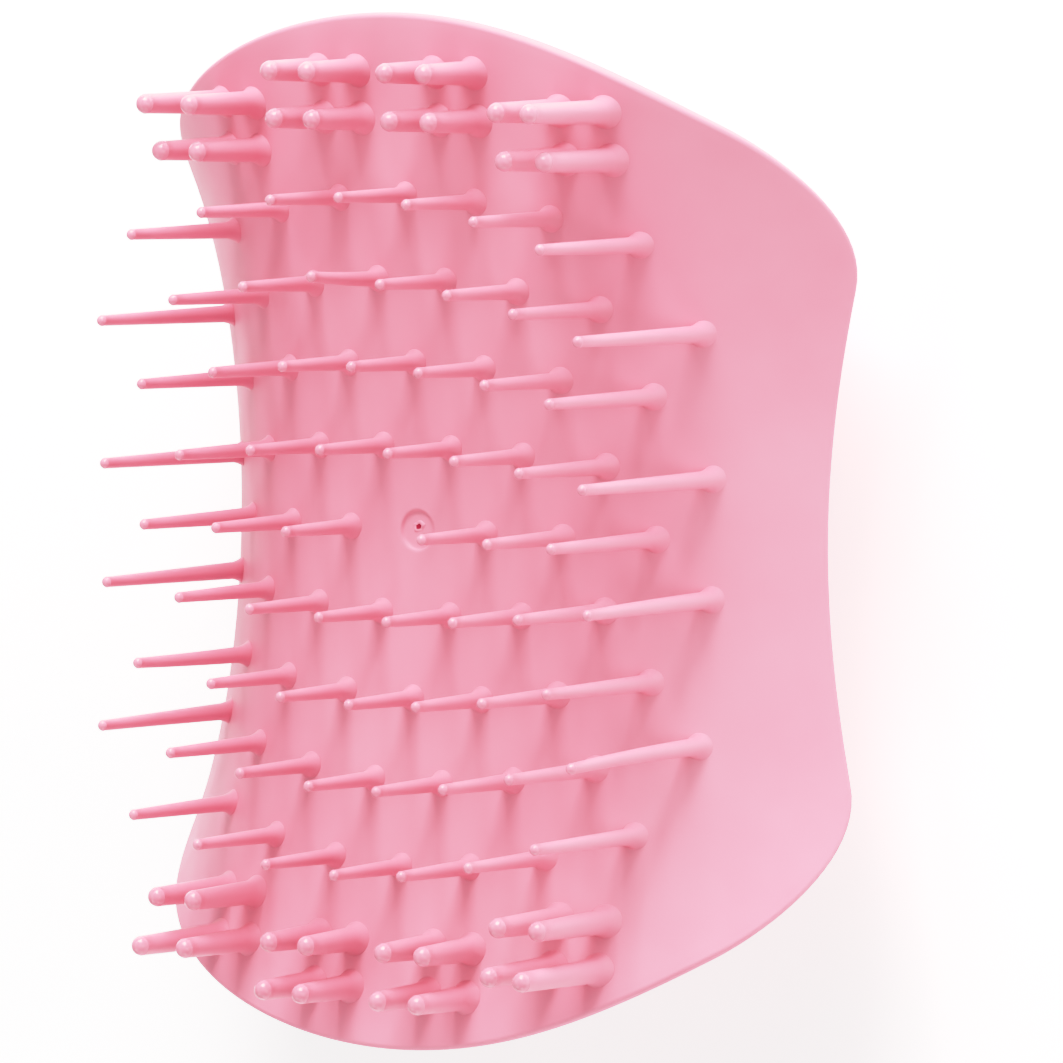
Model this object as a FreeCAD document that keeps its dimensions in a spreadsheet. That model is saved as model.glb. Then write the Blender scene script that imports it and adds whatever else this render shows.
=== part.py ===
"""Palm-held scalp massager brush.

A saddle-shaped bristle plate carries nine staggered rows of fine pins and,
along each end, four clusters of thick massage pins.  A hollow domed shell
closes the back and fits the palm.  Units are millimetres.  The brush rests on
the flat crown of its back shell at Z = 0 with the pins pointing up (+Z).  Its
length runs along Y and its width along X.
"""
import FreeCAD, Part
import math
import os

import Sketcher

DIMENSIONS = [
    # Plan outline of the bristle plate
    ("half_length", 52.4),
    ("waist_half_width", 36.8),
    ("end_arc_radius", 58.1),
    ("corner_arc_radius", 15.6),
    ("side_arc_radius", 102.4),
    # Saddle surface of the bristle plate
    ("plate_height", 31.0),
    ("plate_thickness", 2.2),
    ("saddle_rise", 5.55),
    ("wing_reference", 30.0),
    ("wing_drop", 9.95),
    ("wing_drop_fade", 8.15),
    ("wing_power", 3.3),
    ("rim_round", 0.5),
    # Shallow well at the centre of the plate, with its moulding stub
    ("well_radius", 2.1),
    ("well_depth", 0.35),
    ("stub_radius", 0.45),
    ("stub_height", 0.3),
    # Back shell
    ("shell_meet", 0.97),
    ("shell_trim", 0.955),
    ("shell_wall", 2.0),
    ("cavity_scale", 0.95),
    ("shell_roundness", 5.0),
    ("crown_cut", 0.3),
    # Pin layout
    ("pin_pitch", 8.5),
    ("row_bow", 0.0028),
    ("row_bow_step", 0.0027),
    ("tip_cup_height", 42.05),
    ("tip_cup_radius", 188.0),
    ("root_depth", 3.0),
    # Fine pins; a longer pin has a stouter shaft, by the gain per mm of length
    ("fine_tip_radius", 0.55),
    ("fine_foot_radius", 1.4),
    ("fine_shaft_radius", 0.67),
    ("fine_shaft_gain", 0.01),
    ("fine_flare_height", 1.8),
    # Thick pins, in clusters of two by two
    ("thick_tip_radius", 1.0),
    ("thick_foot_radius", 1.75),
    ("thick_shaft_radius", 1.24),
    ("thick_shaft_gain", 0.0),
    ("thick_flare_height", 1.5),
    ("cluster_pitch", 4.8),
    ("inner_cluster_x", 7.25),
    ("inner_cluster_y", 44.05),
    ("outer_cluster_x", 21.55),
    ("outer_cluster_y", 40.45),
    ("inner_cluster_length", 9.15),
    ("outer_cluster_length", 11.2),
    ("outer_edge_gain", 1.3),
    ("outer_end_gain", 0.35),
    ("outer_tip_gain", 0.95),
]

TALL = 60.0
SURFACE_HALF_X = 42.0
SURFACE_HALF_Y = 54.0
# Spans across X and along Y when a height is turned into a smooth face
SADDLE_SPANS = (16, 12)
SHELL_SPANS = (36, 40)
# Fine rows on each side of the middle one, and the pins in alternate rows
FINE_ROWS = 4
FULL_ROW_PINS = 8
SHORT_ROW_PINS = 7


def make_sheet(doc):
    """Write the driving dimensions to a spreadsheet, one alias per row."""
    sheet = doc.addObject("Spreadsheet::Sheet", "Dimensions")
    for row, (alias, value) in enumerate(DIMENSIONS, start=1):
        sheet.set(f"A{row}", alias)
        sheet.set(f"B{row}", str(value))
        sheet.setAlias(f"B{row}", alias)
    doc.recompute()
    return sheet


class Outline:
    """Hourglass outline of tangent arcs: two ends, four corners, two sides."""

    def __init__(self, size):
        self.end_radius = size("end_arc_radius")
        self.corner_radius = size("corner_arc_radius")
        self.side_radius = size("side_arc_radius")
        self.end_y = size("half_length") - self.end_radius
        self.side_x = size("waist_half_width") + self.side_radius
        self.corner = self.corner_centre()
        end_tilt = math.atan2(self.corner[1] - self.end_y, self.corner[0])
        side_tilt = math.atan2(-self.corner[1], self.side_x - self.corner[0])
        self.end_tilt = end_tilt
        self.side_tilt = side_tilt
        self.end_joint = (
            self.corner[0] + self.corner_radius * math.cos(end_tilt),
            self.corner[1] + self.corner_radius * math.sin(end_tilt),
        )
        self.side_joint = (
            self.corner[0] + self.corner_radius * math.cos(side_tilt),
            self.corner[1] + self.corner_radius * math.sin(side_tilt),
        )

    def corner_centre(self):
        """Centre of the corner arc: inside the end arc, outside the side arc."""
        to_end = self.end_radius - self.corner_radius
        to_side = self.side_radius + self.corner_radius
        span = math.hypot(self.side_x, self.end_y)
        along = (to_end**2 - to_side**2 + span**2) / (2 * span)
        across = math.sqrt(to_end**2 - along**2)
        unit_x = self.side_x / span
        unit_y = -self.end_y / span
        return (
            along * unit_x - across * unit_y,
            self.end_y + along * unit_y + across * unit_x,
        )

    def reach(self, x, y):
        """Distance from the centre to the outline in the direction of (x, y)."""
        angle = math.atan2(abs(y), abs(x))
        if angle > math.atan2(self.end_joint[1], self.end_joint[0]):
            centre, radius, side = (0.0, self.end_y), self.end_radius, 1
        elif angle > math.atan2(self.side_joint[1], self.side_joint[0]):
            centre, radius, side = self.corner, self.corner_radius, 1
        else:
            centre, radius, side = (self.side_x, 0.0), self.side_radius, -1
        along = centre[0] * math.cos(angle) + centre[1] * math.sin(angle)
        off = centre[0] ** 2 + centre[1] ** 2 - radius**2
        return along + side * math.sqrt(along**2 - off)

    def fraction(self, x, y):
        """0 at the centre of the brush and 1 on the outline."""
        return math.hypot(x, y) / self.reach(x, y)


def plate_top(size, x, y):
    """Height of the plate's bristle face: hollow along Y, domed across X."""
    along = y / size("half_length")
    rise = size("saddle_rise") * along**2
    drop = size("wing_drop") - size("wing_drop_fade") * along**2
    wing = (abs(x) / size("wing_reference")) ** size("wing_power")
    return size("plate_height") + rise - drop * wing


def plate_underside(size, x, y):
    """Height of the plate's hidden face."""
    return plate_top(size, x, y) - size("plate_thickness")


def shell_outside(size, outline, x, y):
    """Height of the palm side, which meets the plate's underside inside the rim."""
    blend = (outline.fraction(x, y) / size("shell_meet")) ** size("shell_roundness")
    crown = -size("crown_cut")
    return crown + (plate_underside(size, x, y) - crown) * blend


def shell_inside(size, outline, x, y):
    """Height of the back shell's cavity floor."""
    scale = size("cavity_scale")
    return size("shell_wall") + shell_outside(size, outline, x / scale, y / scale)


def surface_face(height, spans):
    """Smooth face through height(x, y) over a rectangle larger than the plate."""
    spans_x, spans_y = spans
    step_x = 2 * SURFACE_HALF_X / spans_x
    step_y = 2 * SURFACE_HALF_Y / spans_y
    columns = [step_x * i - SURFACE_HALF_X for i in range(spans_x + 1)]
    rows = [step_y * j - SURFACE_HALF_Y for j in range(spans_y + 1)]
    heights = [[height(x, y) for y in rows] for x in columns]
    surface = Part.BSplineSurface()
    surface.interpolate(heights, -SURFACE_HALF_X, step_x, -SURFACE_HALF_Y, step_y)
    return surface.toShape()


def swept_feature(doc, name, face, distance):
    """Solid between a face and its copy moved along Z."""
    feature = doc.addObject("Part::Feature", name)
    feature.Shape = face.extrude(FreeCAD.Vector(0, 0, distance))
    return feature


def origin_plane(body, role):
    """One of the body's own origin planes."""
    return next(item for item in body.Origin.OriginFeatures if item.Role == role)


def mirrored_arc(centre, radius, start, end, flip_x, flip_y):
    """Counter-clockwise arc of the first quadrant, mirrored as asked."""
    if flip_x:
        centre = (-centre[0], centre[1])
        start, end = math.pi - end, math.pi - start
    if flip_y:
        centre = (centre[0], -centre[1])
        start, end = -end, -start
    circle = Part.Circle(FreeCAD.Vector(*centre, 0), FreeCAD.Vector(0, 0, 1), radius)
    return Part.ArcOfCircle(circle, start, end)


def outline_arcs(outline):
    """The eight arcs in order round the outline, from the +X side."""
    turn = math.pi
    corner = (outline.corner, outline.corner_radius, outline.side_tilt, outline.end_tilt)
    end = ((0.0, outline.end_y), outline.end_radius, outline.end_tilt, turn - outline.end_tilt)
    side_tilt = outline.side_tilt
    side = ((outline.side_x, 0.0), outline.side_radius, turn + side_tilt, turn - side_tilt)
    return [
        mirrored_arc(*side, False, False),
        mirrored_arc(*corner, False, False),
        mirrored_arc(*end, False, False),
        mirrored_arc(*corner, True, False),
        mirrored_arc(*side, True, False),
        mirrored_arc(*corner, True, True),
        mirrored_arc(*end, False, True),
        mirrored_arc(*corner, False, True),
    ]


def make_outline_body(doc, name, outline, scale):
    """Tall prism on the hourglass outline, drawn at the scale's share of full size."""
    body = doc.addObject("PartDesign::Body", name)
    sketch = body.newObject("Sketcher::SketchObject", name + "_sketch")
    sketch.AttachmentSupport = [(origin_plane(body, "XY_Plane"), "")]
    sketch.MapMode = "FlatFace"
    sketch.addGeometry(outline_arcs(outline), False)
    # Each arc is convex except the two sides, which run clockwise round the brush.
    first, last = 1, 2
    ends = [(last, first), (first, last), (first, last), (first, last),
            (last, first), (first, last), (first, last), (first, last)]
    for arc in range(8):
        following = (arc + 1) % 8
        joint = (arc, ends[arc][1], following, ends[following][0])
        sketch.addConstraint(Sketcher.Constraint("Tangent", *joint))
    side, corner, end, other_side, other_end = 0, 1, 2, 4, 6
    for arc in (3, 5, 7):
        sketch.addConstraint(Sketcher.Constraint("Equal", corner, arc))
    sketch.addConstraint(Sketcher.Constraint("Equal", side, other_side))
    sketch.addConstraint(Sketcher.Constraint("Equal", end, other_end))
    sketch.addConstraint(Sketcher.Constraint("PointOnObject", end, 3, -2))
    sketch.addConstraint(Sketcher.Constraint("PointOnObject", side, 3, -1))
    sketch.addConstraint(Sketcher.Constraint("Symmetric", end, 3, other_end, 3, -1, 1))
    sketch.addConstraint(Sketcher.Constraint("Symmetric", side, 3, other_side, 3, -1, 1))
    bound = [
        (Sketcher.Constraint("Radius", end, outline.end_radius),
         "Dimensions.end_arc_radius"),
        (Sketcher.Constraint("Radius", corner, outline.corner_radius),
         "Dimensions.corner_arc_radius"),
        (Sketcher.Constraint("Radius", side, outline.side_radius),
         "Dimensions.side_arc_radius"),
        (Sketcher.Constraint("DistanceX", -1, 1, side, 3, outline.side_x),
         "(Dimensions.waist_half_width + Dimensions.side_arc_radius)"),
        (Sketcher.Constraint("DistanceY", end, 3, -1, 1, -outline.end_y),
         "(Dimensions.end_arc_radius - Dimensions.half_length)"),
    ]
    for constraint, expression in bound:
        index = sketch.addConstraint(constraint)
        sketch.setExpression(f"Constraints[{index}]", f"{expression} * {scale}")
    pad = body.newObject("PartDesign::Pad", name + "_pad")
    pad.Profile = sketch
    pad.Length = TALL
    body.Tip = pad
    return body


def boolean(doc, kind, name, base, tool):
    """Part::Cut or Part::Common of two objects."""
    feature = doc.addObject("Part::" + kind, name)
    feature.Base = base
    feature.Tool = tool
    return feature


def make_plate(doc, size, outline, slab):
    """Bristle plate: saddle slab, rounded rim, centre well and moulding stub."""
    prism = make_outline_body(doc, "plate_outline", outline, "1")
    blank = boolean(doc, "Common", "plate_blank", slab, prism)
    doc.recompute()

    rim = doc.addObject("Part::Fillet", "plate_rim")
    rim.Base = blank
    near = size("plate_thickness") / 4
    edges = []
    for number, edge in enumerate(blank.Shape.Edges, start=1):
        middle = edge.valueAt(edge.getParameterByLength(edge.Length / 2))
        if abs(middle.z - plate_top(size, middle.x, middle.y)) < near:
            edges.append((number, size("rim_round"), size("rim_round")))
    rim.Edges = edges

    well = doc.addObject("Part::Cylinder", "centre_well")
    well.setExpression("Radius", "Dimensions.well_radius")
    well.setExpression("Height", "Dimensions.well_depth * 2")
    well.setExpression("Placement.Base.z", "Dimensions.plate_height - Dimensions.well_depth")
    welled = boolean(doc, "Cut", "plate_with_well", rim, well)

    stub = doc.addObject("Part::Cone", "moulding_stub")
    stub.setExpression("Radius1", "Dimensions.stub_radius")
    stub.setExpression("Radius2", "Dimensions.stub_radius / 2")
    stub.setExpression("Height", "Dimensions.stub_height * 2")
    floor = "Dimensions.plate_height - Dimensions.well_depth - Dimensions.stub_height"
    stub.setExpression("Placement.Base.z", floor)
    plate = doc.addObject("Part::MultiFuse", "bristle_plate")
    plate.Shapes = [welled, stub]
    return plate


def make_back_shell(doc, size, outline):
    """Hollow palm dome, trimmed to a narrow wall just inside the plate's rim."""
    underside = surface_face(lambda x, y: plate_underside(size, x, y), SADDLE_SPANS)
    below = swept_feature(doc, "below_plate", underside, -2 * TALL)
    outside = surface_face(lambda x, y: shell_outside(size, outline, x, y), SHELL_SPANS)
    dome = swept_feature(doc, "dome_outside", outside, 2 * TALL)
    inside = surface_face(lambda x, y: shell_inside(size, outline, x, y), SHELL_SPANS)
    hollow = swept_feature(doc, "dome_inside", inside, 2 * TALL)
    prism = make_outline_body(doc, "shell_outline", outline, "Dimensions.shell_trim")
    outer = boolean(doc, "Common", "dome_in_outline", prism, dome)
    outer = boolean(doc, "Common", "dome_under_plate", outer, below)
    return boolean(doc, "Cut", "back_shell", outer, hollow)


def pin_sketch(body, name, size, kind, length):
    """Half section of one pin: buried root, flared foot, tapering shaft, round tip.

    The sketch's origin is where the pin's axis meets the plate's face.
    """
    root = size("root_depth")
    foot = size(kind + "_foot_radius")
    shaft_foot = size(kind + "_shaft_radius") + size(kind + "_shaft_gain") * length
    flare_height = size(kind + "_flare_height")
    tip = size(kind + "_tip_radius")
    vector = FreeCAD.Vector
    normal = vector(0, 0, 1)
    dome = Part.Circle(vector(0, length - tip, 0), normal, tip)
    sketch = body.newObject("Sketcher::SketchObject", name)
    sketch.AttachmentSupport = [(origin_plane(body, "XZ_Plane"), "")]
    sketch.MapMode = "FlatFace"
    bottom, collar, flare, shaft, tip_arc, axis = range(6)
    sketch.addGeometry([
        Part.LineSegment(vector(0, -root, 0), vector(foot, -root, 0)),
        Part.LineSegment(vector(foot, -root, 0), vector(foot, 0, 0)),
        Part.LineSegment(vector(foot, 0, 0), vector(shaft_foot, flare_height, 0)),
        Part.LineSegment(vector(shaft_foot, flare_height, 0), vector(tip, length - tip, 0)),
        Part.ArcOfCircle(dome, 0, math.pi / 2),
        Part.LineSegment(vector(0, length, 0), vector(0, -root, 0)),
    ], False)
    start, end, centre = 1, 2, 3
    relations = [
        ("Coincident", bottom, end, collar, start),
        ("Coincident", collar, end, flare, start),
        ("Coincident", flare, end, shaft, start),
        ("Coincident", shaft, end, tip_arc, start),
        ("Coincident", tip_arc, end, axis, start),
        ("Coincident", axis, end, bottom, start),
        ("PointOnObject", axis, start, -2),
        ("PointOnObject", axis, end, -2),
        ("PointOnObject", tip_arc, centre, -2),
        ("PointOnObject", collar, end, -1),
        ("Horizontal", bottom),
        ("Vertical", collar),
        ("Horizontal", tip_arc, centre, tip_arc, start),
        ("DistanceY", -1, 1, tip_arc, end, length),
    ]
    for relation in relations:
        sketch.addConstraint(Sketcher.Constraint(*relation))
    bound = [
        (("DistanceY", axis, end, -1, 1, root), "Dimensions.root_depth"),
        (("DistanceX", -1, 1, collar, end, foot), f"Dimensions.{kind}_foot_radius"),
        (("DistanceX", -1, 1, flare, end, shaft_foot),
         f"Dimensions.{kind}_shaft_radius + Dimensions.{kind}_shaft_gain * {length}"),
        (("DistanceY", -1, 1, flare, end, flare_height), f"Dimensions.{kind}_flare_height"),
        (("Radius", tip_arc, tip), f"Dimensions.{kind}_tip_radius"),
    ]
    for constraint, expression in bound:
        index = sketch.addConstraint(Sketcher.Constraint(*constraint))
        sketch.setExpression(f"Constraints[{index}]", expression)
    return sketch


def make_pins(doc, size, name, kind, places, below):
    """One node of pins, each a revolved solid that stands on the plate's face.

    places lists each pin's x, y and the height of its tip above the table.
    """
    body = doc.addObject("PartDesign::Body", name + "_body")
    body.AllowCompound = True
    for number, (x, y, tip_height) in enumerate(places, start=1):
        base = plate_top(size, x, y)
        sketch = pin_sketch(body, f"{name}_section_{number}", size, kind, tip_height - base)
        sketch.AttachmentOffset = FreeCAD.Placement(
            FreeCAD.Vector(x, base, -y), FreeCAD.Rotation())
        pin = body.newObject("PartDesign::Revolution", f"{name}_pin_{number}")
        pin.Profile = sketch
        pin.ReferenceAxis = (sketch, ["V_Axis"])
        pin.Angle = 360
        body.Tip = pin
    return boolean(doc, "Cut", name, body, below)


def fine_row_places(size, row):
    """Places of one fine row; row 0 is the middle one and keeps its centre free."""
    pitch = size("pin_pitch")
    count = FULL_ROW_PINS if row % 2 else SHORT_ROW_PINS
    bow = (size("row_bow") + size("row_bow_step") * abs(row)) / 2 if row else 0.0
    places = []
    for column in range(count):
        x = (column - (count - 1) / 2) * pitch
        if row == 0 and x == 0:
            continue
        y = row * pitch - math.copysign(bow * x**2, row)
        tip = size("tip_cup_height") + (x**2 + y**2) / (2 * size("tip_cup_radius"))
        places.append((x, y, tip))
    return places


def cluster_places(size, ring, side, end):
    """Places of one two-by-two cluster; side and end are the signs of X and Y."""
    half = size("cluster_pitch") / 2
    places = []
    for outward in (-1, 1):
        for endward in (-1, 1):
            x = size(ring + "_cluster_x") + outward * half
            y = size(ring + "_cluster_y") + endward * half
            length = size(ring + "_cluster_length")
            if ring == "outer" and outward > 0:
                length += size("outer_edge_gain")
            if ring == "outer" and endward > 0:
                length += size("outer_end_gain")
            if ring == "outer" and outward > 0 and endward > 0:
                length += size("outer_tip_gain")
            places.append((side * x, end * y, plate_top(size, x, y) + length))
    return places


def make_all_pins(doc, size, below):
    """Nine fine rows from the front (+Y) to the rear, and eight thick clusters."""
    nodes = []
    for number, row in enumerate(range(FINE_ROWS, -FINE_ROWS - 1, -1), start=1):
        places = fine_row_places(size, row)
        nodes.append(make_pins(doc, size, f"fine_pins_row_{number}", "fine", places, below))
    for end_name, end in (("front", 1), ("rear", -1)):
        for side_name, side in (("left", -1), ("right", 1)):
            for ring in ("inner", "outer"):
                name = f"thick_pins_{end_name}_{side_name}_{ring}"
                places = cluster_places(size, ring, side, end)
                nodes.append(make_pins(doc, size, name, "thick", places, below))
    return nodes


def check_document(doc):
    """Stop if any object failed to build."""
    for item in doc.Objects:
        if "Invalid" in item.State or "Error" in item.State:
            raise RuntimeError(f"{item.Name} failed: {item.State}")


def export(nodes):
    """Write one STEP file per node after checking its shape."""
    os.makedirs("parts", exist_ok=True)
    for node in nodes:
        shape = node.Shape
        if shape.isNull() or not shape.isValid() or not shape.Solids:
            raise RuntimeError(f"{node.Label} has no valid solid")
        shape.exportStep(f"parts/{node.Label}.step")
        box = shape.BoundBox
        print(f"{node.Label}: {len(shape.Solids)} solids, {shape.Volume:.1f} mm3, "
              f"{box.XLength:.2f} x {box.YLength:.2f} x {box.ZLength:.2f}, low {box.ZMin:.3f}")


def main():
    doc = FreeCAD.newDocument("ScalpMassagerBrush")
    sheet = make_sheet(doc)

    def size(alias):
        return float(sheet.get(alias))

    outline = Outline(size)
    top = surface_face(lambda x, y: plate_top(size, x, y), SADDLE_SPANS)
    slab = swept_feature(doc, "saddle_slab", top, -size("plate_thickness"))
    below = swept_feature(doc, "below_bristle_face", top, -TALL)
    nodes = [make_plate(doc, size, outline, slab), make_back_shell(doc, size, outline)]
    nodes += make_all_pins(doc, size, below)
    doc.recompute()
    check_document(doc)
    export(nodes)


main()
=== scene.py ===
# Looks of the palm-held scalp massager brush, in soft satin pink plastic.
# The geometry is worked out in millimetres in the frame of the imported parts:
# the brush lies on the crown of its back shell at Z = 0, pins up, length
# along Y.  Points are turned into metres only when a mesh is made.
import math

import bpy
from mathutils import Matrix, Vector


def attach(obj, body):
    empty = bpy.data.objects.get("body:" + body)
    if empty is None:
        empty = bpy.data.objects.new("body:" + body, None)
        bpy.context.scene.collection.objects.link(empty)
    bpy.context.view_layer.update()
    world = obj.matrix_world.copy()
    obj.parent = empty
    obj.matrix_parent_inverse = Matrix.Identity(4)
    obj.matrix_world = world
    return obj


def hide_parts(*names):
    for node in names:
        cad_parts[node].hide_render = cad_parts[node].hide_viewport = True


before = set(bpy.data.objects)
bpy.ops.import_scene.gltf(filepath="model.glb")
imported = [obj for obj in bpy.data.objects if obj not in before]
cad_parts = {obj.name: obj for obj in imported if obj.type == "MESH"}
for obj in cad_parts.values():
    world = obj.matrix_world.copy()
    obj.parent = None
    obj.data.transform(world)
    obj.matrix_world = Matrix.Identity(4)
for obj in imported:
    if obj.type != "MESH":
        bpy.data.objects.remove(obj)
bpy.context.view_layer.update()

MM = 0.001

# Plan outline of the bristle plate
HALF_LENGTH = 52.4
WAIST_HALF_WIDTH = 36.8
END_ARC_RADIUS = 58.1
CORNER_ARC_RADIUS = 15.6
SIDE_ARC_RADIUS = 102.4

# Saddle surface of the bristle plate
PLATE_HEIGHT = 31.0
SADDLE_RISE = 5.55
WING_REFERENCE = 30.0
WING_DROP = 9.95
WING_DROP_FADE = 8.15
WING_POWER = 3.3
RIM_RADIUS = 0.5
RIM_UNDER_RADIUS = 1.4
RIM_THICKNESS = 2.0
RIM_WALL = RIM_THICKNESS - RIM_RADIUS - RIM_UNDER_RADIUS
RIM_STEPS = 12
RIM_MIDDLE_STEP = 6
UNDERSIDE_SHARES = (0.97, 0.94, 0.9, 0.8, 0.65, 0.5, 0.35, 0.2, 0.08)

# Shallow gate well at the centre of the plate
WELL_RADIUS = 2.1
WELL_DEPTH = 0.35
WELL_ROUND = 0.12
WELL_MARGIN = 0.25
SCAR_X = -0.04
SCAR_Y = 0.36
SCAR_RADIUS = 0.75
SCAR_SIDES = 28
SCAR_FOOT = -0.05
SCAR_CRATER = 0.02
# Scar rings from the outside in: share of its radius, height above the well's floor
SCAR_PROFILE = [(1.0, SCAR_FOOT), (0.84, 0.03), (0.66, 0.1), (0.54, 0.11), (0.4, 0.05), (0.2, SCAR_CRATER)]
SCAR_CRATER_RING = 4

# Back shell
SHELL_MEET = 0.97
SHELL_TRIM = 0.955
SHELL_WALL = 2.0
SHELL_ROUNDNESS = 5.0
CROWN_CUT = 0.3
CROWN_LEVEL = 0.0
SEAM_DEPTH = 0.35
SEAM_HEIGHT = 0.3
SHELL_TUCK = 0.3
# Rounded edge of the shell below the seam: inset, distance below the seam's lower side
SHELL_EDGE = [(0.0, 0.15), (0.04, 0.04), (0.15, 0.0)]

# Pin layout
PIN_PITCH = 8.5
ROW_BOW = 0.0028
ROW_BOW_STEP = 0.0027
TIP_CUP_HEIGHT = 42.05
TIP_CUP_RADIUS = 188.0
PIN_ROOT_SINK = 0.12
FINE_ROWS = 4
CLUSTER_PITCH = 4.8
INNER_CLUSTER = {"x": 7.25, "y": 44.05, "length": 9.15}
OUTER_CLUSTER = {"x": 21.55, "y": 40.45, "length": 11.2}
OUTER_EDGE_GAIN = 1.3
OUTER_END_GAIN = 0.35
OUTER_TIP_GAIN = 0.95

# Pin shapes: a short flare with a crisp edge on the plate, then a tapering shaft.
# A longer pin has a stouter shaft, by the gain per millimetre of length.
FINE_PIN = {"tip": 0.55, "foot": 1.38, "flare": 1.6, "shaft": 0.67, "gain": 0.01, "sides": 32}
THICK_PIN = {"tip": 1.0, "foot": 1.75, "flare": 1.4, "shaft": 1.24, "gain": 0.0, "sides": 40}
FLARE_WAIST = 0.29
FLARE_WAIST_HEIGHT = 0.375
# Raised witness line under each dome: how proud it stands, and the heights of its two edges and of its end
WITNESS = 0.02
WITNESS_HEIGHTS = (0.03, 0.08)
WITNESS_END = 0.12
DOME_NECK = 0.985

# Soft pins never stand quite straight: how far some tips lean in X and Y, by (row, place)
TIP_LEANS = {
    (3, 3): (-0.1, 0.55),
    (1, 0): (-0.35, 0.0),
    (-1, 7): (0.75, -0.2),
    (-2, 0): (-0.3, 0.2),
    (-3, 0): (0.4, 0.0),
    (-3, 7): (-0.35, -0.7),
    (-4, 0): (0.7, 0.1),
}

# Soft boxes round the brush: name, azimuth and elevation in degrees, width in metres, power in watts
SOFT_BOXES = [
    ("key", 84, 30, 0.4, 10.0),
    ("key_right", 65, 32, 0.4, 2.4),
    ("key_left", 105, 32, 0.4, 1.8),
    ("key_low", 86, 12, 0.4, 5.4),
    ("top_right", 30, 60, 0.5, 1.1),
    ("side", 0, 33, 0.5, 1.5),
    ("side_low", 348, 12, 0.5, 1.3),
    ("front", 280, 15, 0.5, 2.8),
    ("left_front", 240, 33, 0.5, 2.8),
    ("left_high", 195, 60, 0.5, 1.0),
    ("left_back", 150, 50, 0.5, 1.1),
]
LIGHT_TARGET = Vector((0.0, 0.0, 0.03))
LIGHT_DISTANCE = 0.9
WORLD_STRENGTH = 0.05

# Floor: half its side in metres, its grey, and the glow that keeps it near white
FLOOR_HALF = 8.0
FLOOR_GREY = 0.93
FLOOR_GLOW = 0.65

# Camera: millimetres of lens and sensor, place in metres, turn in degrees
CAMERA_LENS = 305.04
CAMERA_SENSOR = 36.0
CAMERA_PLACE = (0.541703, 0.065410, 0.761996)
CAMERA_TURN = (-4.115, 35.812, 0.48)

# Noise scales of the pigment clouds, the patches of sheen and the moulded grain, per metre
CLOUD_SCALE = 60.0
SHEEN_SCALE = 220.0
GRAIN_SCALE = 5200.0

# Pigments of the plate and shell and of the pins, and the dark red painted shade of the torn gate's crater
PINK_DARK = (0.82, 0.247, 0.337)
PINK_LIGHT = (0.87, 0.282, 0.376)
# The pins' pink is the plate's pigment, made a little darker and more saturated as painted shade
PIN_SHADED_DARK = (0.81, 0.228, 0.315)
PIN_SHADED_LIGHT = (0.86, 0.263, 0.355)
CRATER_SHADE_DARK = (0.22, 0.004, 0.02)
CRATER_SHADE_LIGHT = (0.42, 0.015, 0.05)

# Tone curve, from scene brightness to display brightness
SHOULDER_WHITE = 2.2
FILM_CURVE = [
    (0.0, 0.0),
    (0.3, 0.305),
    (0.5, 0.485),
    (0.7, 0.635),
    (0.9, 0.755),
    (1.2, 0.845),
    (1.6, 0.905),
    (SHOULDER_WHITE, 1.0),
]

# Mesh density
PLATE_SIDES = 384
PLATE_RINGS = 44
SHELL_SIDES = 192
SHELL_RINGS = 30
FLARE_RINGS = 8
SHAFT_RINGS = 7
DOME_RINGS = 8


# ---------------------------------------------------------------- surfaces

def plate_top(x, y):
    """Height of the bristle side of the plate above the crown plane."""
    along = y / HALF_LENGTH
    rise = SADDLE_RISE * along**2
    drop = WING_DROP - WING_DROP_FADE * along**2
    return PLATE_HEIGHT + rise - drop * (abs(x) / WING_REFERENCE) ** WING_POWER


def plate_normal(x, y):
    """Unit normal of the plate's bristle side."""
    step = 0.05
    slope_x = (plate_top(x + step, y) - plate_top(x - step, y)) / (2 * step)
    slope_y = (plate_top(x, y + step) - plate_top(x, y - step)) / (2 * step)
    return Vector((-slope_x, -slope_y, 1.0)).normalized()


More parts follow.
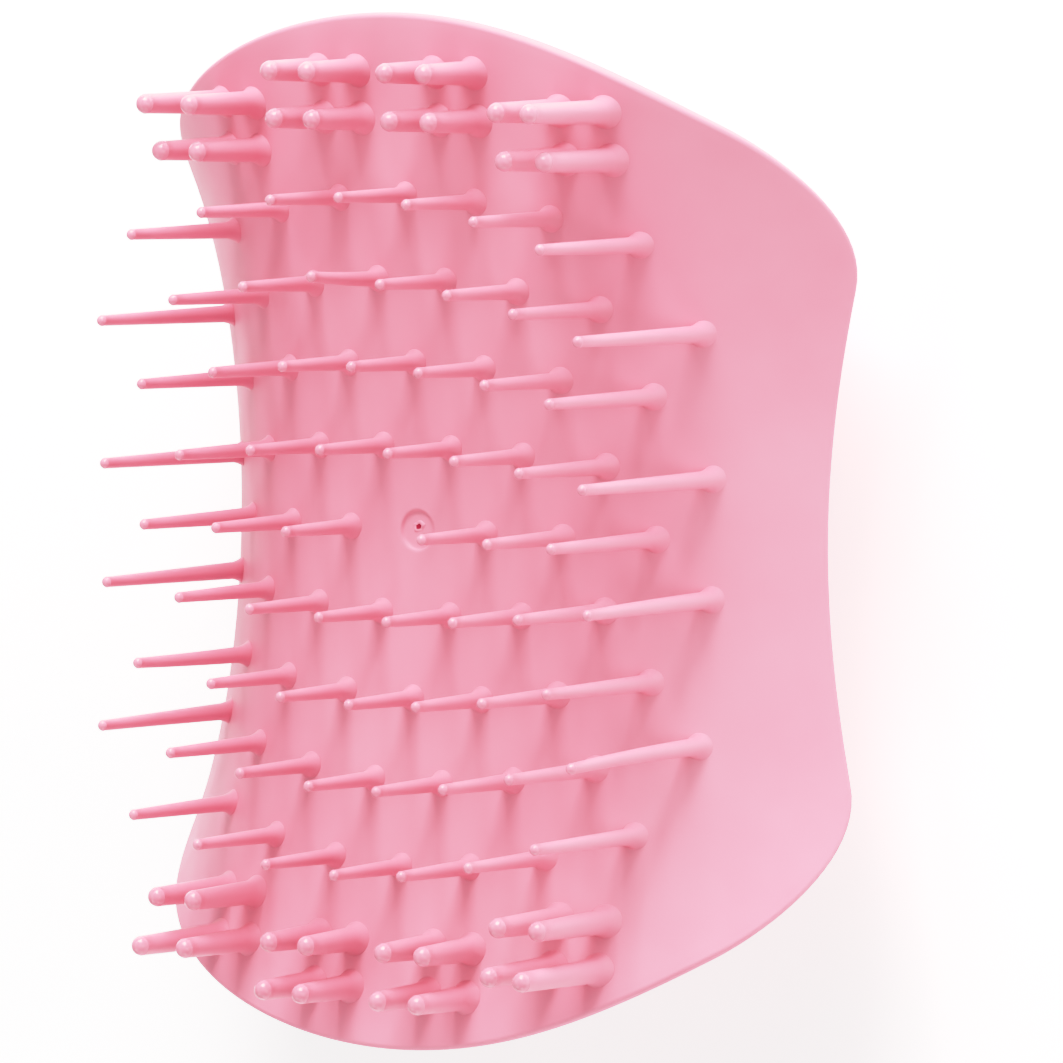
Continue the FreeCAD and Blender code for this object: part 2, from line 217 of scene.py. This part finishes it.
class Outline:
    """Plan outline: end arcs, corner arcs and hollow side arcs, all tangent."""

    def __init__(self):
        self.end_y = HALF_LENGTH - END_ARC_RADIUS
        self.side_x = WAIST_HALF_WIDTH + SIDE_ARC_RADIUS
        self.corner_x, self.corner_y = self.corner_centre()
        end_tilt = math.atan2(self.corner_y - self.end_y, self.corner_x)
        side_tilt = math.atan2(-self.corner_y, self.side_x - self.corner_x)
        self.end_joint = self.joint_angle(end_tilt)
        self.side_joint = self.joint_angle(side_tilt)

    def corner_centre(self):
        """Centre of the corner arc that touches the end and side arcs."""
        to_end = END_ARC_RADIUS - CORNER_ARC_RADIUS
        to_side = SIDE_ARC_RADIUS + CORNER_ARC_RADIUS
        span = math.hypot(self.side_x, self.end_y)
        along = (to_end**2 - to_side**2 + span**2) / (2 * span)
        across = math.sqrt(to_end**2 - along**2)
        unit_x = self.side_x / span
        unit_y = -self.end_y / span
        return along * unit_x - across * unit_y, self.end_y + along * unit_y + across * unit_x

    def joint_angle(self, tilt):
        """Polar angle of the point where the corner arc ends."""
        x = self.corner_x + CORNER_ARC_RADIUS * math.cos(tilt)
        y = self.corner_y + CORNER_ARC_RADIUS * math.sin(tilt)
        return math.atan2(y, x)

    def reach(self, angle):
        """Distance from the middle of the plate to the outline."""
        cos_a = abs(math.cos(angle))
        sin_a = abs(math.sin(angle))
        folded = math.atan2(sin_a, cos_a)
        if folded > self.end_joint:
            centre_x, centre_y, radius, side = 0.0, self.end_y, END_ARC_RADIUS, 1
        elif folded > self.side_joint:
            centre_x, centre_y, radius, side = self.corner_x, self.corner_y, CORNER_ARC_RADIUS, 1
        else:
            centre_x, centre_y, radius, side = self.side_x, 0.0, SIDE_ARC_RADIUS, -1
        along = centre_x * cos_a + centre_y * sin_a
        off = centre_x**2 + centre_y**2 - radius**2
        return along + side * math.sqrt(along**2 - off)

    def point(self, angle, scale=1.0):
        distance = scale * self.reach(angle)
        return Vector((distance * math.cos(angle), distance * math.sin(angle)))

    def outward(self, angle):
        """Unit plan vector square to the outline, pointing out."""
        step = 0.002
        run = self.point(angle + step) - self.point(angle - step)
        return Vector((run.y, -run.x)).normalized()


OUTLINE = Outline()


# ------------------------------------------------------------------ meshes

class RingMesh:
    """Collects rings of points and skins them into one mesh."""

    def __init__(self, name):
        self.name = name
        self.points = []
        self.faces = []
        self.slots = []

    def ring(self, points):
        start = len(self.points)
        self.points.extend(points)
        return list(range(start, start + len(points)))

    def skin(self, low, high, slot=0):
        count = len(low)
        for index in range(count):
            after = (index + 1) % count
            self.faces.append((low[index], low[after], high[after], high[index]))
            self.slots.append(slot)

    def skin_all(self, rings, slot=0):
        for low, high in zip(rings, rings[1:]):
            self.skin(low, high, slot)

    def cap(self, ring, centre, slot=0, up=True):
        """Closes a ring with a fan round a centre point."""
        middle = len(self.points)
        self.points.append(centre)
        count = len(ring)
        for index in range(count):
            after = (index + 1) % count
            face = (ring[index], ring[after], middle)
            self.faces.append(face if up else face[::-1])
            self.slots.append(slot)

    def build(self, materials):
        mesh = bpy.data.meshes.new(self.name)
        mesh.from_pydata([Vector(point) * MM for point in self.points], [], self.faces)
        for material in materials:
            mesh.materials.append(material)
        mesh.polygons.foreach_set("material_index", self.slots)
        mesh.polygons.foreach_set("use_smooth", [True] * len(self.faces))
        mesh.validate()
        mesh.update()
        piece = bpy.data.objects.new(self.name, mesh)
        bpy.context.collection.objects.link(piece)
        return piece


def turn(index, count):
    return 2 * math.pi * index / count


def on_plate(plan, lift=0.0):
    return Vector((plan.x, plan.y, plate_top(plan.x, plan.y) + lift))


# --------------------------------------------------------------- materials

def new_material(name):
    material = bpy.data.materials.new(name)
    material.use_nodes = True
    tree = material.node_tree
    tree.nodes.clear()
    return material, tree


def add_node(tree, kind, **values):
    node = tree.nodes.new(kind)
    for key, value in values.items():
        setattr(node, key, value)
    return node


def noise(tree, coordinates, scale, detail=2.0):
    node = add_node(tree, "ShaderNodeTexNoise")
    node.inputs["Scale"].default_value = scale
    node.inputs["Detail"].default_value = detail
    tree.links.new(coordinates, node.inputs["Vector"])
    return node.outputs["Fac"]


def ramp(tree, factor, dark, light, low=0.3, high=0.7):
    node = add_node(tree, "ShaderNodeValToRGB")
    node.color_ramp.elements[0].position = low
    node.color_ramp.elements[0].color = (*dark, 1.0)
    node.color_ramp.elements[1].position = high
    node.color_ramp.elements[1].color = (*light, 1.0)
    tree.links.new(factor, node.inputs["Fac"])
    return node.outputs["Color"]


def value_range(tree, factor, low, high):
    node = add_node(tree, "ShaderNodeMapRange")
    node.inputs["From Min"].default_value = 0.3
    node.inputs["From Max"].default_value = 0.7
    node.inputs["To Min"].default_value = low
    node.inputs["To Max"].default_value = high
    tree.links.new(factor, node.inputs["Value"])
    return node.outputs["Result"]


def soft_plastic(name, dark, light, rough, specular, grain_depth):
    """Satin plastic: cloudy pigment, patches of sheen and a fine moulded grain. The grain is in metres."""
    material, tree = new_material(name)
    place = add_node(tree, "ShaderNodeTexCoord").outputs["Object"]
    shader = add_node(tree, "ShaderNodeBsdfPrincipled")
    shader.inputs["IOR"].default_value = 1.46
    shader.inputs["Specular IOR Level"].default_value = specular
    cloud = noise(tree, place, CLOUD_SCALE, 3.0)
    tree.links.new(ramp(tree, cloud, dark, light), shader.inputs["Base Color"])
    patch = noise(tree, place, SHEEN_SCALE)
    tree.links.new(value_range(tree, patch, rough - 0.04, rough + 0.05), shader.inputs["Roughness"])
    grain = noise(tree, place, GRAIN_SCALE)
    bump = add_node(tree, "ShaderNodeBump")
    bump.inputs["Distance"].default_value = grain_depth
    bump.inputs["Strength"].default_value = 0.5
    tree.links.new(grain, bump.inputs["Height"])
    tree.links.new(bump.outputs["Normal"], shader.inputs["Normal"])
    output = add_node(tree, "ShaderNodeOutputMaterial")
    tree.links.new(shader.outputs["BSDF"], output.inputs["Surface"])
    return material


# ----------------------------------------------------------- bristle plate

def rim_section(angle):
    """Top, rounding centre, outward and normal vectors where the rim starts."""
    out = OUTLINE.outward(angle)
    edge = OUTLINE.point(angle)
    start = edge - RIM_RADIUS * out
    for _ in range(3):
        normal = plate_normal(start.x, start.y)
        lean = normal.x * out.x + normal.y * out.y
        overshoot = 0.0
        if lean < 0.0:
            flat = math.sqrt(1.0 - lean**2)
            overshoot = RIM_WALL * -lean + (RIM_UNDER_RADIUS - RIM_RADIUS) * (1.0 - flat)
        start = edge - (RIM_RADIUS * (1.0 - lean) + overshoot) * out
    top = on_plate(start)
    out_3d = Vector((out.x, out.y, 0.0))
    across = (out_3d - normal * out_3d.dot(normal)).normalized()
    return top, top - RIM_RADIUS * normal, across, normal


def bristle_plate():
    """Saddle plate with a rounded rim and a shallow gate well."""
    mesh = RingMesh("bristle_plate")
    angles = [turn(index, PLATE_SIDES) for index in range(PLATE_SIDES)]
    rims = [rim_section(angle) for angle in angles]

    def circle(radius, lift):
        plans = [Vector((radius * math.cos(angle), radius * math.sin(angle))) for angle in angles]
        return mesh.ring([on_plate(plan, lift) for plan in plans])

    rings = [
        circle(0.25 * WELL_RADIUS, -WELL_DEPTH),
        circle(0.7 * WELL_RADIUS, -WELL_DEPTH),
        circle(WELL_RADIUS - 2.2 * WELL_ROUND, -WELL_DEPTH),
        circle(WELL_RADIUS - 1.3 * WELL_ROUND, -0.8 * WELL_DEPTH),
        circle(WELL_RADIUS - 0.6 * WELL_ROUND, -0.25 * WELL_DEPTH),
        circle(WELL_RADIUS, 0.0),
        circle(WELL_RADIUS + WELL_MARGIN, 0.0),
    ]
    inner = WELL_RADIUS + WELL_MARGIN
    for step in range(1, PLATE_RINGS + 1):
        share = step / PLATE_RINGS
        points = []
        for angle, (top, _, _, _) in zip(angles, rims):
            reach = math.hypot(top.x, top.y)
            distance = inner + (reach - inner) * share
            bearing = math.atan2(top.y, top.x)
            blend = share**2
            spoke = angle + blend * math.remainder(bearing - angle, 2 * math.pi)
            points.append(on_plate(Vector((distance * math.cos(spoke), distance * math.sin(spoke)))))
        rings.append(mesh.ring(points))
    upper_arc = (RIM_RADIUS, 0.0, 1, RIM_MIDDLE_STEP)
    lower_arc = (RIM_UNDER_RADIUS, RIM_WALL, RIM_MIDDLE_STEP, RIM_STEPS)
    for radius, drop, first, last in (upper_arc, lower_arc):
        for step in range(first, last + 1):
            tilt = math.pi * step / RIM_STEPS
            points = []
            for _, centre, across, normal in rims:
                hub = centre - (radius - RIM_RADIUS) * across - drop * normal
                points.append(hub + radius * (math.cos(tilt) * normal + math.sin(tilt) * across))
            rings.append(mesh.ring(points))
    for share in UNDERSIDE_SHARES:
        points = []
        for top, centre, _, _ in rims:
            plan = Vector((top.x * share, top.y * share))
            points.append(on_plate(plan) - RIM_THICKNESS * plate_normal(plan.x, plan.y))
        rings.append(mesh.ring(points))
    mesh.skin_all(rings[::-1])
    mesh.cap(rings[0], Vector((0.0, 0.0, PLATE_HEIGHT - WELL_DEPTH)))
    mesh.cap(rings[-1], Vector((0.0, 0.0, PLATE_HEIGHT - RIM_THICKNESS)), up=False)
    gate_scar(mesh)
    return mesh


def gate_scar(mesh):
    """Torn stub of the moulding gate: a low ragged ridge round a crater on the well's floor, coloured dark
    red as painted shade.
    """
    floor = PLATE_HEIGHT - WELL_DEPTH
    rings = []
    for scale, lift in SCAR_PROFILE:
        points = []
        for index in range(SCAR_SIDES):
            angle = turn(index, SCAR_SIDES)
            ragged = 1.0 + 0.13 * math.sin(2 * angle + 0.8) + 0.06 * math.sin(5 * angle)
            ragged += 0.04 * math.sin(7 * angle)
            uneven = 1.0 + 0.55 * math.sin(2 * angle + 0.5) + 0.3 * math.sin(5 * angle + 1.1)
            radius = SCAR_RADIUS * scale * ragged
            x = SCAR_X + radius * math.cos(angle)
            y = SCAR_Y + radius * math.sin(angle)
            height = floor + (lift * uneven if lift > 0 else lift)
            points.append(Vector((x, y, height)))
        rings.append(mesh.ring(points))
    mesh.skin_all(rings[:SCAR_CRATER_RING + 1])
    # The crater's rings and cap take the second slot, its dark red painted shade
    mesh.skin_all(rings[SCAR_CRATER_RING:], slot=1)
    mesh.cap(rings[-1], Vector((SCAR_X, SCAR_Y, floor + SCAR_CRATER)), slot=1)
    mesh.cap(rings[0], Vector((SCAR_X, SCAR_Y, floor + SCAR_FOOT)), up=False)


# -------------------------------------------------------------- back shell

def shell_height(share, under):
    """Height of the shell's outside at a share of the outline."""
    crown = -CROWN_CUT
    blend = (share / SHELL_MEET) ** SHELL_ROUNDNESS
    return max(CROWN_LEVEL, crown + (under - crown) * blend)


def back_shell():
    """Domed palm shell with a thin shadow seam under the plate."""
    mesh = RingMesh("back_shell")
    angles = [turn(index, SHELL_SIDES) for index in range(SHELL_SIDES)]
    crown_share = SHELL_MEET * (CROWN_CUT / (PLATE_HEIGHT + CROWN_CUT)) ** (1 / SHELL_ROUNDNESS)

    def layer(share, inset=0.0, lift=0.0):
        points = []
        for angle in angles:
            plan = OUTLINE.point(angle, share)
            under = on_plate(plan).z - RIM_THICKNESS
            height = shell_height(share, under)
            plan = plan - inset * OUTLINE.outward(angle)
            points.append(Vector((plan.x, plan.y, height + lift)))
        return mesh.ring(points)

    def collar(inset, below):
        """Ring just under the plate, where the shell meets it."""
        points = []
        for angle in angles:
            plan = OUTLINE.point(angle, SHELL_TRIM)
            under = on_plate(plan).z - RIM_THICKNESS
            plan = plan - inset * OUTLINE.outward(angle)
            points.append(Vector((plan.x, plan.y, under - below)))
        return mesh.ring(points)

    shares = []
    for step in range(SHELL_RINGS + 1):
        share = step / SHELL_RINGS
        shares.append(crown_share + (SHELL_TRIM - crown_share) * math.sin(share * math.pi / 2))
    outside = [layer(share) for share in shares]
    outside += [collar(inset, SEAM_HEIGHT + below) for inset, below in SHELL_EDGE]
    outside += [collar(SEAM_DEPTH, SEAM_HEIGHT), collar(SEAM_DEPTH, -SHELL_TUCK)]
    outside.append(collar(SHELL_WALL, -SHELL_TUCK))
    inside = [layer(share, inset=SHELL_WALL, lift=0.5 * SHELL_WALL) for share in reversed(shares[2:-1])]
    rings = [layer(0.5 * crown_share), layer(0.8 * crown_share)] + outside + inside
    mesh.skin_all(rings)
    mesh.cap(rings[0], Vector((0.0, 0.0, CROWN_LEVEL)), up=False)
    mesh.cap(rings[-1], Vector((0.0, 0.0, CROWN_LEVEL + SHELL_WALL)))
    return mesh


# -------------------------------------------------------------------- pins

def flare_points(base, spec, shaft, angle):
    """Foot flare on one side of a pin, from its crisp edge up to the shaft."""
    direction = Vector((math.cos(angle), math.sin(angle)))

    def above_plate(radius, lift):
        return on_plate(Vector((base.x, base.y)) + radius * direction, lift)

    reach = spec["foot"]
    for _ in range(4):
        rise = above_plate(reach, 0.0).z - base.z
        reach = spec["foot"] / math.hypot(1.0, rise / reach)
    edge = above_plate(reach, 0.0)
    waist = above_plate(shaft + FLARE_WAIST * (reach - shaft), FLARE_WAIST_HEIGHT * spec["flare"])
    top = above_plate(shaft, spec["flare"])
    points = [above_plate(reach, -PIN_ROOT_SINK)]
    for step in range(FLARE_RINGS + 1):
        t = step / FLARE_RINGS
        points.append((1 - t) ** 2 * edge + 2 * t * (1 - t) * waist + t**2 * top)
    return points


def add_pin(mesh, x, y, tip_z, spec, lean=(0.0, 0.0)):
    """One moulded pin: flared foot, drafted shaft, witness line and dome."""
    base = Vector((x, y, plate_top(x, y)))
    first_point = len(mesh.points)
    sides = spec["sides"]
    angles = [turn(index, sides) for index in range(sides)]
    shaft = spec["shaft"] + spec["gain"] * (tip_z - base.z)
    dome_z = tip_z - spec["tip"]

    def circle(radius, height):
        return [Vector((x + radius * math.cos(a), y + radius * math.sin(a), height)) for a in angles]

    columns = [flare_points(base, spec, shaft, angle) for angle in angles]
    for column, end in zip(columns, circle(spec["tip"], dome_z)):
        start = column[-1]
        column.extend(start.lerp(end, step / SHAFT_RINGS) for step in range(1, SHAFT_RINGS + 1))
    rings = [mesh.ring(level) for level in zip(*columns)]
    mesh.skin_all(rings)

    dome = [rings[-1]]
    for height in WITNESS_HEIGHTS:
        dome.append(mesh.ring(circle(spec["tip"] + WITNESS, dome_z + height)))
    dome.append(mesh.ring(circle(spec["tip"] * DOME_NECK, dome_z + WITNESS_END)))
    first = math.asin(WITNESS_END / spec["tip"])
    for step in range(1, DOME_RINGS):
        lift = first + (math.pi / 2 - first) * step / DOME_RINGS
        dome.append(mesh.ring(circle(spec["tip"] * math.cos(lift), dome_z + spec["tip"] * math.sin(lift))))
    mesh.skin_all(dome, slot=1)
    mesh.cap(dome[-1], Vector((x, y, tip_z)), slot=1)
    mesh.cap(rings[0], base - Vector((0.0, 0.0, PIN_ROOT_SINK)), up=False)
    for point in mesh.points[first_point:]:
        bend = max(0.0, (point.z - base.z) / (tip_z - base.z)) ** 2
        point.x += lean[0] * bend
        point.y += lean[1] * bend


def fine_row(row):
    """Number and place of each pin in one fine row, counted from the middle row."""
    count = 8 if row % 2 else 7
    bow = (ROW_BOW + ROW_BOW_STEP * abs(row)) / 2 if row else 0.0
    for column in range(count):
        x = (column - (count - 1) / 2) * PIN_PITCH
        if row == 0 and x == 0:
            continue
        y = row * PIN_PITCH - math.copysign(bow * x**2, row)
        yield column, x, y


def fine_pins(row):
    mesh = RingMesh(f"fine_pins_row_{FINE_ROWS - row + 1}")
    for column, x, y in fine_row(row):
        tip_z = TIP_CUP_HEIGHT + (x**2 + y**2) / (2 * TIP_CUP_RADIUS)
        add_pin(mesh, x, y, tip_z, FINE_PIN, TIP_LEANS.get((row, column), (0.0, 0.0)))
    return mesh


def thick_pins(end, side, ring):
    """A two by two cluster near one end of the plate."""
    outer = ring is OUTER_CLUSTER
    end_name = "front" if end > 0 else "rear"
    side_name = "right" if side > 0 else "left"
    ring_name = "outer" if outer else "inner"
    mesh = RingMesh(f"thick_pins_{end_name}_{side_name}_{ring_name}")
    for outward in (False, True):
        for endward in (False, True):
            x = ring["x"] + (CLUSTER_PITCH / 2 if outward else -CLUSTER_PITCH / 2)
            y = ring["y"] + (CLUSTER_PITCH / 2 if endward else -CLUSTER_PITCH / 2)
            length = ring["length"]
            if outer:
                length += OUTER_EDGE_GAIN * outward + OUTER_END_GAIN * endward
                length += OUTER_TIP_GAIN * (outward and endward)
            add_pin(mesh, side * x, end * y, plate_top(x, y) + length, THICK_PIN)
    return mesh


# ---------------------------------------------------------------- assembly

def stand_for(mesh, materials):
    """Builds a piece that replaces the CAD node of the same name."""
    node = mesh.name
    mesh.name = node + "_moulding"
    piece = mesh.build(materials)
    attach(piece, "root")
    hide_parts(node)


def build_brush():
    skin = soft_plastic("satin_pink", PINK_DARK, PINK_LIGHT, rough=0.5, specular=0.3, grain_depth=12e-6)
    # Shafts and domes share the pins' pink, with its painted shade
    shaft = soft_plastic("pin_pink_painted_shade", PIN_SHADED_DARK, PIN_SHADED_LIGHT, rough=0.42, specular=0.4, grain_depth=8e-6)
    gloss = soft_plastic("polished_pink_painted_shade", PIN_SHADED_DARK, PIN_SHADED_LIGHT, rough=0.17, specular=0.5, grain_depth=3e-6)
    # The torn gate's crater gets a dark red painted shade
    crater_shade = soft_plastic("crater_painted_shade", CRATER_SHADE_DARK, CRATER_SHADE_LIGHT, rough=0.7, specular=0.15, grain_depth=30e-6)
    shell = soft_plastic("shell_pink", PINK_DARK, PINK_LIGHT, rough=0.36, specular=0.45, grain_depth=8e-6)
    stand_for(bristle_plate(), [skin, crater_shade])
    stand_for(back_shell(), [shell])
    for row in range(-FINE_ROWS, FINE_ROWS + 1):
        stand_for(fine_pins(row), [shaft, gloss])
    for end in (1, -1):
        for side in (1, -1):
            for ring in (INNER_CLUSTER, OUTER_CLUSTER):
                stand_for(thick_pins(end, side, ring), [shaft, gloss])


# ------------------------------------------------------------------- stage

def floor():
    mesh = bpy.data.meshes.new("floor")
    half = FLOOR_HALF
    corners = [(-half, -half, 0), (half, -half, 0), (half, half, 0), (-half, half, 0)]
    mesh.from_pydata(corners, [], [(0, 1, 2, 3)])
    material, tree = new_material("pale_floor")
    shader = add_node(tree, "ShaderNodeBsdfPrincipled")
    shader.inputs["Base Color"].default_value = (FLOOR_GREY, FLOOR_GREY, FLOOR_GREY, 1.0)
    shader.inputs["Roughness"].default_value = 0.8
    shader.inputs["Emission Color"].default_value = (1.0, 1.0, 1.0, 1.0)
    shader.inputs["Emission Strength"].default_value = FLOOR_GLOW
    output = add_node(tree, "ShaderNodeOutputMaterial")
    tree.links.new(shader.outputs["BSDF"], output.inputs["Surface"])
    mesh.materials.append(material)
    plane = bpy.data.objects.new("floor", mesh)
    bpy.context.collection.objects.link(plane)


def soft_box(name, azimuth, elevation, width, power):
    """Square area light aimed at the middle of the brush."""
    flat = math.cos(math.radians(elevation))
    direction = Vector((
        flat * math.cos(math.radians(azimuth)),
        flat * math.sin(math.radians(azimuth)),
        math.sin(math.radians(elevation)),
    ))
    data = bpy.data.lights.new(name, "AREA")
    data.shape = "SQUARE"
    data.size = width
    data.energy = power
    light = bpy.data.objects.new(name, data)
    light.location = LIGHT_TARGET + direction * LIGHT_DISTANCE
    light.rotation_euler = (-direction).to_track_quat("-Z", "Y").to_euler()
    bpy.context.collection.objects.link(light)


def film_shoulder(scene):
    """Rolls bright tones off gently, as a camera does, before the display."""
    view = scene.view_settings
    view.view_transform = "Standard"
    view.use_curve_mapping = True
    mapping = view.curve_mapping
    mapping.white_level = (SHOULDER_WHITE, SHOULDER_WHITE, SHOULDER_WHITE)
    curve = mapping.curves[3]
    for exposure, tone in FILM_CURVE[1:-1]:
        curve.points.new(exposure / SHOULDER_WHITE, tone)
    curve.points[0].location = FILM_CURVE[0]
    curve.points[-1].location = (1.0, FILM_CURVE[-1][1])
    mapping.update()


def studio():
    world = bpy.data.worlds.new("studio")
    world.use_nodes = True
    background = world.node_tree.nodes["Background"]
    background.inputs["Color"].default_value = (1.0, 1.0, 1.0, 1.0)
    background.inputs["Strength"].default_value = WORLD_STRENGTH
    scene = bpy.context.scene
    scene.world = world
    film_shoulder(scene)
    for light in SOFT_BOXES:
        soft_box(*light)


def camera():
    data = bpy.data.cameras.new("camera")
    data.sensor_width = CAMERA_SENSOR
    data.lens = CAMERA_LENS
    data.clip_end = 50.0
    view = bpy.data.objects.new("camera", data)
    view.location = CAMERA_PLACE
    view.rotation_mode = "ZXY"
    view.rotation_euler = [math.radians(angle) for angle in CAMERA_TURN]
    bpy.context.collection.objects.link(view)
    bpy.context.scene.camera = view


build_brush()
floor()
studio()
camera()
